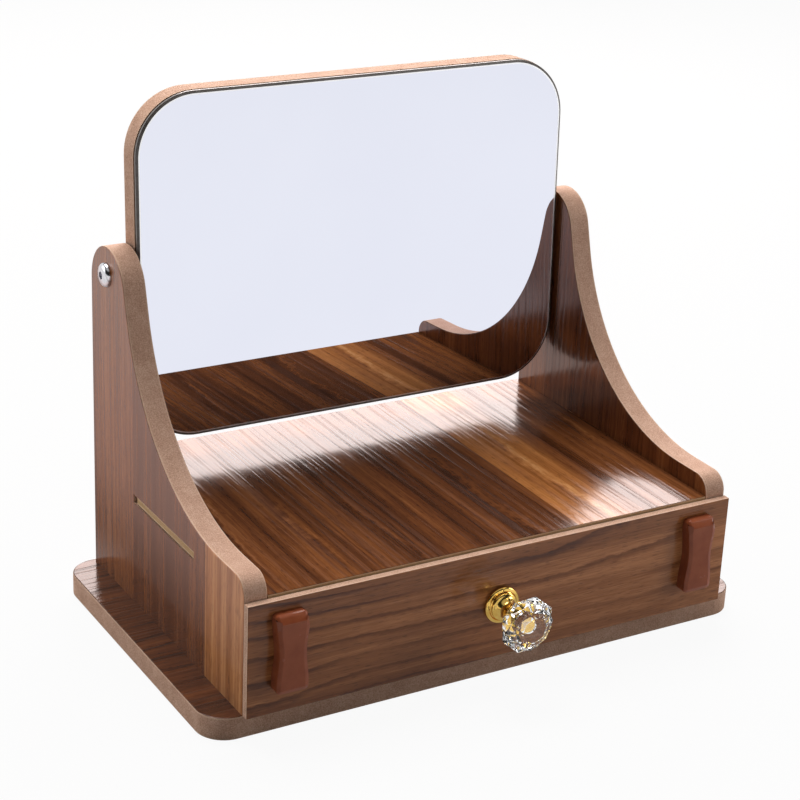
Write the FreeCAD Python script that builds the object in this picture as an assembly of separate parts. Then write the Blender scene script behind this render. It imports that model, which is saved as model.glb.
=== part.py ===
import FreeCAD, Part
import math
import os
from FreeCAD import Vector

# A table-top vanity mirror with a drawer.  Two shaped side panels stand on a base board and carry a
# thin shelf, which is also the top of the drawer bay.  A mirror hangs between the panels on two
# screws and tilts about them.  The drawer slides out of the bay, pulled by a glass knob.
#
# Millimetres.  X runs to the right, Y to the back, Z up.  The origin is the centre of the base
# board's underside, which is the face that the object rests on.

# ---- driving dimensions ----------------------------------------------------------------------

# boards
BOARD = 12.0                    # thickness of the base, the side panels and the mirror board
EDGE_ROUND = 0.6                # round-over along the edges that show

# base board
BASE_SIDE_MARGIN = 17.0         # from the side panels to the base's ends
BASE_BACK_MARGIN = 1.5          # from the side panels to the base's back edge
BASE_CORNER_RADIUS = 15.0

# side panels
CARCASS_WIDTH = 275.0           # over the outer faces of the two panels
PANEL_DEPTH = 176.5
NOSE_RISE = 9.4                 # top of the low front end, above the shelf
NOSE_RADIUS = 9.3
NOSE_LENGTH = 25.0              # from the front edge to the start of the sweep
FLANK_LENGTH = 14.5             # straight run between the sweep and the crown
CROWN_RADIUS = 20.6

# shelf, held by a tenon through a slot in each side panel
SHELF_THICKNESS = 4.0
SHELF_HEIGHT = 60.4             # its top face, above the base board
TENON_SETBACK = 54.0            # from the panel's front edge to the tenon
TENON_LENGTH = 67.0
TENON_RECESS = 0.3              # the tenon's end stops short of the panel's outer face
SLOT_END_GAP = 4.0              # left open behind the tenon
SLOT_SLACK = 0.6                # left open under the tenon

# back board of the drawer bay, held in a groove in each side panel
BACK_THICKNESS = 5.0
BACK_INSET = 2.0
GROOVE_DEPTH = 4.0

# mirror; its width is what the side panels and the washers leave
MIRROR_HEIGHT = 180.0
MIRROR_GAP = 15.6               # from the shelf to the mirror's lower edge when it is upright
MIRROR_CORNER_RADIUS = 32.0
MIRROR_TILT = 2.0               # degrees, top towards the back
GLASS_THICKNESS = 2.0
GLASS_INSET = 0.3               # glass edge inside the board's edge
TAPE_THICKNESS = 0.6
TAPE_WIDTH = 25.0
TAPE_MARGIN = 20.0              # from the strips' ends to the glass's edges
TAPE_STRIPS = 3

# mirror pivots, at half the mirror's height
PIVOT_DROP = 14.5               # below the side panel's top
PIVOT_SETBACK = 19.3            # from the panel's back edge
PIVOT_DIAMETER = 5.0
PIVOT_HEAD_DIAMETER = 12.5
PIVOT_HEAD_HEIGHT = 3.0
PIVOT_GRIP = 10.0               # length of the screw inside the insert
PIVOT_SOCKET = 3.0              # across the flats of the hexagon socket
PIVOT_SOCKET_DEPTH = 1.8
INSERT_DIAMETER = 8.0
INSERT_LENGTH = 12.0
INSERT_SLOT_WIDTH = 1.2         # driver slot across the insert's outer end
INSERT_SLOT_DEPTH = 1.5
WASHER_DIAMETER = 12.0
WASHER_THICKNESS = 1.0

# drawer
DRAWER_FRONT_DROP = 1.7         # the front's upper edge, below the shelf's top face
DRAWER_FRONT_THICKNESS = 4.2
DRAWER_WALL = 6.0
DRAWER_BOTTOM = 3.0
DRAWER_BOTTOM_LIFT = 3.0        # underside of the bottom, above the walls' lower edges
DRAWER_GROOVE = 3.0
DRAWER_FRONT_GAP = 0.3          # behind and under the front
DRAWER_FLOOR_GAP = 0.3
DRAWER_TOP_GAP = 2.0
DRAWER_SIDE_GAP = 1.0
DRAWER_REAR_GAP = 3.0

# knob; distances are from the drawer front's face
KNOB_DROP = 0.4                 # its axis, below the middle of the front
KNOB_FLANGE_DIAMETER = 19.4
KNOB_FLANGE_THICKNESS = 2.2
KNOB_FLANGE_ROUND = 0.9
KNOB_RING_DIAMETER = 14.6
KNOB_RING_THICKNESS = 1.9
KNOB_RING_ROUND = 0.7
KNOB_RING_SINK = 0.8            # of the ring into the flange's face, past its rounding
KNOB_NECK_DIAMETER = 8.0
KNOB_COVE_DIAMETER = 12.6       # wide end of the cove, at the ring
KNOB_COVE_LENGTH = 4.0
KNOB_NECK_LENGTH = 1.6          # its straight part, between the cove and the cup
KNOB_CUP_DIAMETER = 11.4
KNOB_CUP_LENGTH = 2.6
KNOB_COLLAR_DIAMETER = 13.0     # the collar under the glass
KNOB_COLLAR_THICKNESS = 2.1
KNOB_COLLAR_ROUND = 0.6
KNOB_SPIGOT_DIAMETER = 7.0
KNOB_SPIGOT_LENGTH = 8.0
CRYSTAL_DIAMETER = 29.0
CRYSTAL_SCALLOP = 1.0           # depth of the dips between the lobes
CRYSTAL_LOBES = 8
CRYSTAL_TURN = 27.0             # degrees that the first lobe stands above the horizontal
CRYSTAL_BACK_DEPTH = 8.0        # from its seat in the cup to the girdle
CRYSTAL_GIRDLE = 2.2
CRYSTAL_CROWN_DEPTH = 5.5       # from the girdle to the table
CRYSTAL_TABLE_DIAMETER = 15.0
KNOB_SCREW_DIAMETER = 4.0
KNOB_SCREW_GRIP = 8.0           # length of the screw inside the knob
KNOB_SCREW_HEAD_DIAMETER = 8.0
KNOB_SCREW_HEAD_HEIGHT = 2.6
KNOB_SCREW_HEAD_ROUND = 1.2
KNOB_WASHER_DIAMETER = 11.0
KNOB_WASHER_THICKNESS = 0.8

# the two waisted blocks on the drawer front
TRIM_WIDTH = 16.6
TRIM_LENGTH = 40.0
TRIM_DEPTH = 6.6
TRIM_WAIST = 1.3                # how far each side is drawn in at mid-length
TRIM_SHOULDER = 5.0             # straight part of each side at its ends
TRIM_CORNER_RADIUS = 2.2
TRIM_BEVEL = 2.4                # sloped border of the front face
TRIM_INSET = 20.5               # centre, from the drawer front's end
TRIM_LIFT = 3.5                 # centre, above the middle of the front

# fasteners of the carcass and of the drawer box
BASE_SCREW_DIAMETER = 4.0
BASE_SCREW_LENGTH = 38.0
BASE_SCREW_HEAD = 8.0
BASE_SCREW_INSET = 30.0         # from the panel's ends
DOWEL_DIAMETER = 6.0
DOWEL_LENGTH = 22.0
DOWEL_SINK = 8.0                # how far it goes into the base
DOWEL_INSET = 58.0              # from the panel's ends
BOX_SCREW_DIAMETER = 2.6
BOX_SCREW_LENGTH = 18.0
BOX_SCREW_HEAD = 5.0
BOX_SCREW_INSET = 13.0          # from the walls' upper and lower edges
SCREW_SINK = 0.3                # depth of a countersunk head below the surface
RECESS_SPAN = 0.5               # a cross recess, as a share of the screw head's diameter
RECESS_WIDTH = 0.125
RECESS_DEPTH = 0.2

# clearances
FIT = 0.2                       # around a board that is held in a slot or groove
HOLE_CLEARANCE = 0.05           # radial, around a screw or dowel that is held
PASS_CLEARANCE = 0.2            # radial, around a screw that passes through
RUNNING_CLEARANCE = 0.06        # radial, around the mirror's pivot screws
PIVOT_END_PLAY = 0.1            # between the mirror's fittings and the side panels
HOLE_SPARE = 1.0                # depth of a blind hole beyond the end of what it holds
OVERRUN = 1.0                   # how far a cutting shape stands past the face that it cuts
TOUCH = 1e-3                    # places closer than this count as the same

# ---- places that follow from the sizes -------------------------------------------------------

base_top = BOARD
base_half_width = CARCASS_WIDTH / 2 + BASE_SIDE_MARGIN
base_half_depth = (PANEL_DEPTH + BASE_BACK_MARGIN) / 2
front_edge = -base_half_depth                   # front of the base and of the side panels
panel_back = front_edge + PANEL_DEPTH
panel_outside = CARCASS_WIDTH / 2
panel_inside = panel_outside - BOARD
shelf_top = base_top + SHELF_HEIGHT
shelf_bottom = shelf_top - SHELF_THICKNESS
back_rear = panel_back - BACK_INSET
back_front = back_rear - BACK_THICKNESS

nose_top = shelf_top + NOSE_RISE
pivot = Vector(0, panel_back - PIVOT_SETBACK, shelf_top + MIRROR_GAP + MIRROR_HEIGHT / 2)
panel_top = pivot.z + PIVOT_DROP
mirror_half = panel_inside - PIVOT_END_PLAY - WASHER_THICKNESS

drawer_face_back = front_edge - DRAWER_FRONT_GAP
drawer_face = drawer_face_back - DRAWER_FRONT_THICKNESS
drawer_half = panel_inside - DRAWER_SIDE_GAP
drawer_inner = drawer_half - DRAWER_WALL
drawer_low = base_top + DRAWER_FLOOR_GAP
drawer_high = shelf_bottom - DRAWER_TOP_GAP
drawer_rear = back_front - DRAWER_REAR_GAP
drawer_bottom_low = drawer_low + DRAWER_BOTTOM_LIFT
drawer_bottom_high = drawer_bottom_low + DRAWER_BOTTOM
inner_front_rear = drawer_face_back + DRAWER_WALL

front_low = base_top + DRAWER_FRONT_GAP
front_high = shelf_top - DRAWER_FRONT_DROP
knob_z = (front_low + front_high) / 2 - KNOB_DROP
trim_z = (front_low + front_high) / 2 + TRIM_LIFT
RIGHT = Vector(1, 0, 0)
BACKWARD = Vector(0, 1, 0)
FORWARD = Vector(0, -1, 0)
UP = Vector(0, 0, 1)


# ---- shapes that several pieces share --------------------------------------------------------

def block(x, y, z):
    """A square-edged board between two limits along each axis."""
    corner = Vector(min(x), min(y), min(z))
    return Part.makeBox(max(x) - min(x), max(y) - min(y), max(z) - min(z), corner)


def edges_along(shape, axis):
    """The straight edges that run along an axis."""
    found = []
    for edge in shape.Edges:
        if len(edge.Vertexes) == 2:
            run = edge.Vertexes[1].Point - edge.Vertexes[0].Point
            if run.Length > 0 and abs(abs(run.dot(axis)) - run.Length) < 1e-6:
                found.append(edge)
    return found


def edges_of_faces(shape, axis, keep=lambda edge: True):
    """The edges around the flat faces that look along an axis or against it."""
    found = []
    for face in shape.Faces:
        normal = face.normalAt(0, 0)
        if abs(abs(normal.dot(axis)) - 1) < 1e-6 and face.Surface.TypeId == "Part::GeomPlane":
            found += [edge for edge in face.Edges if keep(edge)]
    return found


def rounded_board(x, y, z, corner_radius, axis, edge_round):
    """A board with round corners seen along an axis, and a small round-over on both faces."""
    board = block(x, y, z)
    board = board.makeFillet(corner_radius, edges_along(board, axis))
    return board.makeFillet(edge_round, edges_of_faces(board, axis))


def both_sides(piece):
    """The piece at +X and its mirror image at -X."""
    return [piece, piece.mirror(Vector(0, 0, 0), RIGHT)]


def countersunk_screw(place, direction, length, diameter, head_diameter):
    """A wood screw whose flat head lies at place and whose point is along direction."""
    head_height = (head_diameter - diameter) / 2
    point = diameter
    head = Part.makeCone(head_diameter / 2, diameter / 2, head_height, place, direction)
    shank = Part.makeCylinder(diameter / 2, length - point, place, direction)
    tip = Part.makeCone(diameter / 2, 0, point, place + direction * (length - point), direction)
    screw = head.fuse([shank, tip]).removeSplitter()
    return screw.cut(cross_recess(place, direction, head_diameter))


def cross_recess(place, direction, head_diameter):
    """The cross-shaped hole for a screwdriver in a screw's head."""
    span = head_diameter * RECESS_SPAN
    width = head_diameter * RECESS_WIDTH
    side = UP if abs(direction.z) < 0.5 else RIGHT
    across = direction.cross(side)
    bars = []
    for along, over in ((side, across), (across, side)):
        corner = place - along * (span / 2) - over * (width / 2)
        wire = Part.makePolygon([corner, corner + along * span, corner + along * span + over * width,
                                 corner + over * width, corner])
        bars.append(Part.Face(wire).extrude(direction * head_diameter * RECESS_DEPTH))
    return bars[0].fuse(bars[1])


def countersunk_hole(place, direction, length, diameter, head_diameter, clearance):
    """The hole that a countersunk screw passes through, with the seat for its sunk head."""
    radius = diameter / 2 + clearance
    seat = head_diameter / 2 + clearance
    hole = Part.makeCylinder(radius, length, place, direction)
    mouth = Part.makeCylinder(seat, SCREW_SINK, place, direction)
    cone = Part.makeCone(seat, radius, seat - radius, place + direction * SCREW_SINK, direction)
    return hole.fuse([mouth, cone])


# ---- carcass -----------------------------------------------------------------------------------

def arc_yz(centre_y, centre_z, radius, start, end):
    """An arc in the plane x = 0, between two angles in radians from +Y."""
    points = []
    for angle in (start, (start + end) / 2, end):
        points.append(Vector(0, centre_y + radius * math.cos(angle), centre_z + radius * math.sin(angle)))
    return Part.Arc(*points).toShape()


def panel_outline():
    """A side panel's outline: a low round nose, a long hollow sweep, a short flank and a round crown.

    The flank is the common tangent of the sweep and the crown, so the sweep's radius follows from it.
    """
    sweep_y = front_edge + NOSE_LENGTH
    crown_y = panel_back - CROWN_RADIUS
    crown_z = panel_top - CROWN_RADIUS
    reach = crown_y - sweep_y
    rise = crown_z - nose_top
    spare = reach ** 2 + rise ** 2 - FLANK_LENGTH ** 2 - CROWN_RADIUS ** 2
    sweep_radius = spare / (2 * (rise + CROWN_RADIUS))
    sweep_z = nose_top + sweep_radius
    lean = math.atan2(crown_z - sweep_z, reach)
    apart = math.hypot(crown_z - sweep_z, reach)
    flank = lean - math.acos((sweep_radius + CROWN_RADIUS) / apart)

    nose = arc_yz(front_edge + NOSE_RADIUS, nose_top - NOSE_RADIUS, NOSE_RADIUS, math.pi, math.pi / 2)
    sweep = arc_yz(sweep_y, sweep_z, sweep_radius, -math.pi / 2, flank)
    crown = arc_yz(crown_y, crown_z, CROWN_RADIUS, flank + math.pi, 0)
    foot_front = Vector(0, front_edge, base_top)
    foot_back = Vector(0, panel_back, base_top)
    corners = [foot_front, nose.firstVertex().Point, nose.lastVertex().Point,
               sweep.firstVertex().Point, sweep.lastVertex().Point, crown.firstVertex().Point,
               crown.lastVertex().Point, foot_back, foot_front]
    straights = [Part.makeLine(corners[i], corners[i + 1]) for i in (0, 2, 4, 6, 7)]
    order = [straights[0], nose, straights[1], sweep, straights[2], crown, straights[3], straights[4]]
    return Part.Wire(order)


def shelf_slot():
    """The slot through a side panel for the shelf's tenon."""
    tenon_front = front_edge + TENON_SETBACK
    return block((panel_inside - OVERRUN, panel_outside + OVERRUN),
                 (tenon_front - FIT, tenon_front + TENON_LENGTH + SLOT_END_GAP),
                 (shelf_bottom - SLOT_SLACK, shelf_top + HOLE_CLEARANCE))


def base_fastener_places(inset):
    """Where a fastener joins the right side panel to the base, near the front and near the back."""
    middle = panel_outside - BOARD / 2
    return [Vector(middle, front_edge + inset, 0), Vector(middle, panel_back - inset, 0)]


def base_screw_hole(place):
    """The screw's way through the base, and its hole in the panel."""
    passing = countersunk_hole(place, UP, BOARD, BASE_SCREW_DIAMETER, BASE_SCREW_HEAD, PASS_CLEARANCE)
    holding = Part.makeCylinder(BASE_SCREW_DIAMETER / 2 + HOLE_CLEARANCE,
                                BASE_SCREW_LENGTH + HOLE_SPARE, place, UP)
    return passing, holding


def dowel(place):
    """A dowel across the joint between the base and a side panel."""
    return Part.makeCylinder(DOWEL_DIAMETER / 2, DOWEL_LENGTH, place + UP * (base_top - DOWEL_SINK), UP)


def dowel_hole(place):
    """The dowel's hole, in the base and the side panel together."""
    start = place + UP * (base_top - DOWEL_SINK - HOLE_SPARE)
    return Part.makeCylinder(DOWEL_DIAMETER / 2 + HOLE_CLEARANCE, DOWEL_LENGTH + 2 * HOLE_SPARE, start, UP)


def side_panel():
    """The right side panel: outline, shelf slot, pivot bore, groove for the back board, fixings."""
    panel = Part.Face(panel_outline()).extrude(RIGHT * BOARD)
    panel.translate(RIGHT * panel_inside)
    edges = edges_of_faces(panel, RIGHT, lambda edge: edge.BoundBox.ZMax > base_top + TOUCH)
    panel = panel.makeFillet(EDGE_ROUND, edges)
    bore = Part.makeCylinder(PIVOT_DIAMETER / 2 + RUNNING_CLEARANCE, BOARD + 2 * OVERRUN,
                             pivot + RIGHT * (panel_inside - OVERRUN), RIGHT)
    groove = block((panel_inside - OVERRUN, panel_inside + GROOVE_DEPTH),
                   (back_front - FIT, back_rear + FIT),
                   (base_top - OVERRUN, shelf_bottom - SLOT_SLACK))
    cuts = [shelf_slot(), bore, groove]
    for place in base_fastener_places(BASE_SCREW_INSET):
        cuts.append(base_screw_hole(place)[1])
    for place in base_fastener_places(DOWEL_INSET):
        cuts.append(dowel_hole(place))
    return panel.cut(cuts)


def base_board():
    """The base: a round-cornered board with countersunk screw holes and dowel holes."""
    base = rounded_board((-base_half_width, base_half_width), (-base_half_depth, base_half_depth),
                         (0, base_top), BASE_CORNER_RADIUS, UP, EDGE_ROUND)
    cuts = []
    for place in base_fastener_places(BASE_SCREW_INSET):
        cuts += both_sides(base_screw_hole(place)[0])
    for place in base_fastener_places(DOWEL_INSET):
        cuts += both_sides(dowel_hole(place))
    return base.cut(cuts)


def base_screws():
    """Four screws up through the base into the side panels."""
    screws = []
    for place in base_fastener_places(BASE_SCREW_INSET):
        screws += both_sides(countersunk_screw(place + UP * SCREW_SINK, UP, BASE_SCREW_LENGTH,
                                               BASE_SCREW_DIAMETER, BASE_SCREW_HEAD))
    return Part.makeCompound(screws)


def base_dowels():
    """Four wooden dowels that locate the side panels on the base."""
    dowels = []
    for place in base_fastener_places(DOWEL_INSET):
        dowels += both_sides(dowel(place))
    return Part.makeCompound(dowels)


def shelf_panel():
    """The shelf: a thin board between the side panels, with a tenon through each of them."""
    tenon_front = front_edge + TENON_SETBACK
    half = panel_inside - FIT
    reach = panel_outside - TENON_RECESS
    board = block((-half, half), (front_edge, panel_back), (shelf_bottom, shelf_top))
    tenons = block((-reach, reach), (tenon_front, tenon_front + TENON_LENGTH), (shelf_bottom, shelf_top))
    return board.fuse(tenons).removeSplitter()


def back_board():
    """The board that closes the back of the drawer bay."""
    half = panel_inside + GROOVE_DEPTH - FIT
    return block((-half, half), (back_front, back_rear), (base_top, shelf_bottom - SLOT_SLACK - FIT))


# ---- mirror ------------------------------------------------------------------------------------

def mirror_plate(inset, near, far, edge_round):
    """A plate with the mirror's outline drawn in by inset, between two planes of Y from the pivot."""
    half_width = mirror_half - inset
    half_height = MIRROR_HEIGHT / 2 - inset
    return rounded_board((-half_width, half_width), (pivot.y + near, pivot.y + far),
                         (pivot.z - half_height, pivot.z + half_height),
                         MIRROR_CORNER_RADIUS - inset, BACKWARD, edge_round)


def mirror_board():
    """The board behind the glass, with a hole in each side edge for a threaded insert."""
    board = mirror_plate(0, -BOARD / 2, BOARD / 2, EDGE_ROUND)
    start = pivot + RIGHT * (mirror_half - INSERT_LENGTH - HOLE_SPARE)
    hole = Part.makeCylinder(INSERT_DIAMETER / 2 + HOLE_CLEARANCE,
                             INSERT_LENGTH + HOLE_SPARE + OVERRUN, start, RIGHT)
    return board.cut(both_sides(hole))


def mirror_tape():
    """Upright strips of foam tape between the board and the glass."""
    near = -BOARD / 2 - TAPE_THICKNESS
    half_height = MIRROR_HEIGHT / 2 - GLASS_INSET - TAPE_MARGIN
    reach = mirror_half - GLASS_INSET - TAPE_MARGIN - TAPE_WIDTH / 2
    strips = []
    for number in range(TAPE_STRIPS):
        middle = -reach + 2 * reach * number / max(TAPE_STRIPS - 1, 1)
        strips.append(block((middle - TAPE_WIDTH / 2, middle + TAPE_WIDTH / 2),
                            (pivot.y + near, pivot.y - BOARD / 2),
                            (pivot.z - half_height, pivot.z + half_height)))
    return Part.makeCompound(strips)


def mirror_glass():
    """The silvered glass, a little smaller than its board."""
    far = -BOARD / 2 - TAPE_THICKNESS
    return mirror_plate(GLASS_INSET, far - GLASS_THICKNESS, far, EDGE_ROUND / 2)


def threaded_insert():
    """The right brass insert in the mirror board's edge, with its bore and a driver slot."""
    start = pivot + RIGHT * (mirror_half - INSERT_LENGTH)
    body = Part.makeCylinder(INSERT_DIAMETER / 2, INSERT_LENGTH, start, RIGHT)
    bore = Part.makeCylinder(PIVOT_DIAMETER / 2 + HOLE_CLEARANCE, INSERT_LENGTH + 2 * OVERRUN,
                             start - RIGHT * OVERRUN, RIGHT)
    slot = block((mirror_half - INSERT_SLOT_DEPTH, mirror_half + OVERRUN),
                 (pivot.y - INSERT_SLOT_WIDTH / 2, pivot.y + INSERT_SLOT_WIDTH / 2),
                 (pivot.z - INSERT_DIAMETER, pivot.z + INSERT_DIAMETER))
    return body.cut([bore, slot])


def pivot_washer():
    """The right nylon washer, between the mirror board's edge and the side panel."""
    start = pivot + RIGHT * mirror_half
    disc = Part.makeCylinder(WASHER_DIAMETER / 2, WASHER_THICKNESS, start, RIGHT)
    hole = Part.makeCylinder(PIVOT_DIAMETER / 2 + HOLE_CLEARANCE, WASHER_THICKNESS + 2 * OVERRUN,
                             start - RIGHT * OVERRUN, RIGHT)
    return disc.cut(hole)


def pivot_screw():
    """The right pivot screw: a domed head outside the panel and a shank into the insert."""
    seat = panel_outside + PIVOT_END_PLAY
    inner_end = mirror_half - PIVOT_GRIP
    shank = Part.makeCylinder(PIVOT_DIAMETER / 2, seat - inner_end, pivot + RIGHT * inner_end, RIGHT)
    radius = PIVOT_HEAD_DIAMETER / 2
    sphere = (radius ** 2 + PIVOT_HEAD_HEIGHT ** 2) / (2 * PIVOT_HEAD_HEIGHT)
    dome = Part.makeSphere(sphere, pivot + RIGHT * (seat + PIVOT_HEAD_HEIGHT - sphere))
    stock = Part.makeCylinder(radius, PIVOT_HEAD_HEIGHT + OVERRUN, pivot + RIGHT * seat, RIGHT)
    head = stock.common(dome)
    corner = PIVOT_SOCKET / math.sqrt(3)
    floor = pivot + RIGHT * (seat + PIVOT_HEAD_HEIGHT - PIVOT_SOCKET_DEPTH)
    ring = []
    for number in range(7):
        angle = math.radians(60 * number)
        ring.append(floor + Vector(0, corner * math.cos(angle), corner * math.sin(angle)))
    socket = Part.Face(Part.makePolygon(ring)).extrude(RIGHT * (PIVOT_SOCKET_DEPTH + OVERRUN))
    return shank.fuse(head).removeSplitter().cut(socket)


def tilted(shape):
    """The mirror's pieces are drawn upright and then leaned back about the pivots."""
    turned = shape.copy()
    turned.rotate(pivot, RIGHT, -MIRROR_TILT)
    return turned


# ---- drawer ------------------------------------------------------------------------------------

def box_screw_places():
    """Where screws go through the right wall into the inner front and the back."""
    places = []
    for y in (drawer_face_back + DRAWER_WALL / 2, drawer_rear - DRAWER_WALL / 2):
        for z in (drawer_low + BOX_SCREW_INSET, drawer_high - BOX_SCREW_INSET):
            places.append(Vector(drawer_half, y, z))
    return places


def box_screw_hole(place):
    """The passing hole in the side wall and the holding hole in the end of the cross wall."""
    passing = countersunk_hole(place, -RIGHT, DRAWER_WALL, BOX_SCREW_DIAMETER, BOX_SCREW_HEAD,
                               HOLE_CLEARANCE)
    holding = Part.makeCylinder(BOX_SCREW_DIAMETER / 2 + HOLE_CLEARANCE,
                                BOX_SCREW_LENGTH + HOLE_SPARE, place, -RIGHT)
    return passing, holding


def box_screws():
    """Eight small screws that hold the drawer box together at its corners."""
    screws = []
    for place in box_screw_places():
        screws += both_sides(countersunk_screw(place - RIGHT * SCREW_SINK, -RIGHT, BOX_SCREW_LENGTH,
                                               BOX_SCREW_DIAMETER, BOX_SCREW_HEAD))
    return Part.makeCompound(screws)


def bottom_groove():
    """The groove for the drawer bottom, as one plate that reaches into all four walls."""
    reach = drawer_inner + DRAWER_GROOVE
    return block((-reach, reach),
                 (inner_front_rear - DRAWER_GROOVE, drawer_rear - DRAWER_WALL + DRAWER_GROOVE),
                 (drawer_bottom_low - HOLE_CLEARANCE, drawer_bottom_high + HOLE_CLEARANCE))


def drawer_bottom():
    """The drawer's floor, held in the grooves of the walls."""
    reach = drawer_inner + DRAWER_GROOVE - FIT
    return block((-reach, reach),
                 (inner_front_rear - DRAWER_GROOVE + FIT, drawer_rear - DRAWER_WALL + DRAWER_GROOVE - FIT),
                 (drawer_bottom_low, drawer_bottom_high))


def drawer_side():
    """The right wall of the drawer box."""
    wall = block((drawer_inner, drawer_half), (drawer_face_back, drawer_rear), (drawer_low, drawer_high))
    return wall.cut([bottom_groove()] + [box_screw_hole(place)[0] for place in box_screw_places()])


def drawer_cross_wall(y):
    """A wall of the drawer box between its two sides."""
    wall = block((-drawer_inner, drawer_inner), y, (drawer_low, drawer_high))
    cuts = [bottom_groove()]
    for place in box_screw_places():
        if min(y) < place.y < max(y):
            cuts += both_sides(box_screw_hole(place)[1])
    return wall.cut(cuts)


def knob_hole(y):
    """The hole for the knob's screw through a board."""
    start = Vector(0, min(y) - OVERRUN, knob_z)
    length = max(y) - min(y) + 2 * OVERRUN
    return Part.makeCylinder(KNOB_SCREW_DIAMETER / 2 + PASS_CLEARANCE, length, start, BACKWARD)


def drawer_inner_front():
    """The front wall of the drawer box, behind the front that shows."""
    y = (drawer_face_back, inner_front_rear)
    return drawer_cross_wall(y).cut(knob_hole(y))


def drawer_back():
    """The rear wall of the drawer box."""
    return drawer_cross_wall((drawer_rear - DRAWER_WALL, drawer_rear))


def drawer_front():
    """The thin front that covers the ends of the side panels."""
    y = (drawer_face, drawer_face_back)
    front = block((-panel_outside, panel_outside), y, (front_low, front_high))
    face_edges = edges_of_faces(front, BACKWARD, lambda edge: edge.BoundBox.YMax < drawer_face + TOUCH)
    front = front.makeFillet(EDGE_ROUND / 2, face_edges)
    return front.cut(knob_hole(y))


def trim_block(side):
    """One waisted block on the drawer front, with round corners and a sloped border."""
    middle = side * (panel_outside - TRIM_INSET)
    half_width = TRIM_WIDTH / 2
    half_length = TRIM_LENGTH / 2
    bend = half_length - TRIM_SHOULDER

    def at(x, z):
        return Vector(middle + x, drawer_face, trim_z + z)

    right = Part.Arc(at(half_width, bend), at(half_width - TRIM_WAIST, 0), at(half_width, -bend)).toShape()
    left = Part.Arc(at(-half_width, -bend), at(-half_width + TRIM_WAIST, 0), at(-half_width, bend)).toShape()
    lower = Part.makePolygon([at(half_width, -bend), at(half_width, -half_length),
                              at(-half_width, -half_length), at(-half_width, -bend)])
    upper = Part.makePolygon([at(-half_width, bend), at(-half_width, half_length),
                              at(half_width, half_length), at(half_width, bend)])
    outline = Part.Wire([right] + lower.Edges + [left] + upper.Edges)
    solid = Part.Face(outline).extrude(FORWARD * TRIM_DEPTH)
    corners = [edge for edge in edges_along(solid, BACKWARD)
               if abs(abs(edge.BoundBox.ZMin - trim_z) - half_length) < TOUCH]
    solid = solid.makeFillet(TRIM_CORNER_RADIUS, corners)
    tip = drawer_face - TRIM_DEPTH
    border = edges_of_faces(solid, BACKWARD, lambda edge: edge.BoundBox.YMax < tip + TOUCH)
    return solid.makeChamfer(TRIM_BEVEL, border)


# ---- knob --------------------------------------------------------------------------------------

knob_ring_start = KNOB_FLANGE_THICKNESS
knob_cove_start = knob_ring_start + KNOB_RING_THICKNESS
knob_cup_start = knob_cove_start + KNOB_COVE_LENGTH + KNOB_NECK_LENGTH
knob_collar_start = knob_cup_start + KNOB_CUP_LENGTH
knob_seat = knob_collar_start + KNOB_COLLAR_THICKNESS


def on_knob(distance):
    """A point on the knob's axis, at a distance in front of the drawer front."""
    return Vector(0, drawer_face - distance, knob_z)


def knob_disc(diameter, start, thickness, rim):
    """A round disc of the knob's base, with a round rim."""
    disc = Part.makeCylinder(diameter / 2, thickness, on_knob(start), FORWARD)
    circles = [edge for edge in disc.Edges if edge.Closed]
    return disc.makeFillet(rim, circles)


def knob_rod(diameter, start, end):
    """A straight round part of the knob's base."""
    return Part.makeCylinder(diameter / 2, end - start, on_knob(start), FORWARD)


def knob_cone(near_diameter, far_diameter, start, length):
    """A tapered part of the knob's base."""
    return Part.makeCone(near_diameter / 2, far_diameter / 2, length, on_knob(start), FORWARD)


def knob_base():
    """The gilt base: a flange, a ring, a hollow neck, a collar and a spigot into the glass."""
    flange = knob_rod(KNOB_FLANGE_DIAMETER, 0, KNOB_FLANGE_THICKNESS)
    rim = [edge for edge in flange.Edges if edge.Closed and edge.BoundBox.YMax < drawer_face - TOUCH]
    flange = flange.makeFillet(KNOB_FLANGE_ROUND, rim)
    pieces = [
        knob_disc(KNOB_RING_DIAMETER, knob_ring_start - KNOB_RING_SINK,
                  KNOB_RING_THICKNESS + KNOB_RING_SINK, KNOB_RING_ROUND),
        knob_cone(KNOB_COVE_DIAMETER, KNOB_NECK_DIAMETER, knob_cove_start, KNOB_COVE_LENGTH),
        knob_rod(KNOB_NECK_DIAMETER, knob_cove_start, knob_cup_start),
        knob_cone(KNOB_NECK_DIAMETER, KNOB_CUP_DIAMETER, knob_cup_start, KNOB_CUP_LENGTH),
        knob_disc(KNOB_COLLAR_DIAMETER, knob_collar_start, KNOB_COLLAR_THICKNESS, KNOB_COLLAR_ROUND),
        knob_rod(KNOB_SPIGOT_DIAMETER, knob_seat - KNOB_COLLAR_ROUND, knob_seat + KNOB_SPIGOT_LENGTH),
    ]
    bore = Part.makeCylinder(KNOB_SCREW_DIAMETER / 2 + HOLE_CLEARANCE,
                             KNOB_SCREW_GRIP + HOLE_SPARE + OVERRUN, on_knob(-OVERRUN), FORWARD)
    return flange.fuse(pieces).removeSplitter().cut(bore)


def crystal_ring(distance, lobe_radius, dip_radius):
    """A ring of corners around the knob's axis, alternately on a lobe and in a dip."""
    ring = []
    for number in range(2 * CRYSTAL_LOBES):
        angle = math.radians(CRYSTAL_TURN) + math.pi * number / CRYSTAL_LOBES
        radius = dip_radius if number % 2 else lobe_radius
        ring.append(on_knob(distance) + Vector(radius * math.cos(angle), 0, radius * math.sin(angle)))
    return ring


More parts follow.
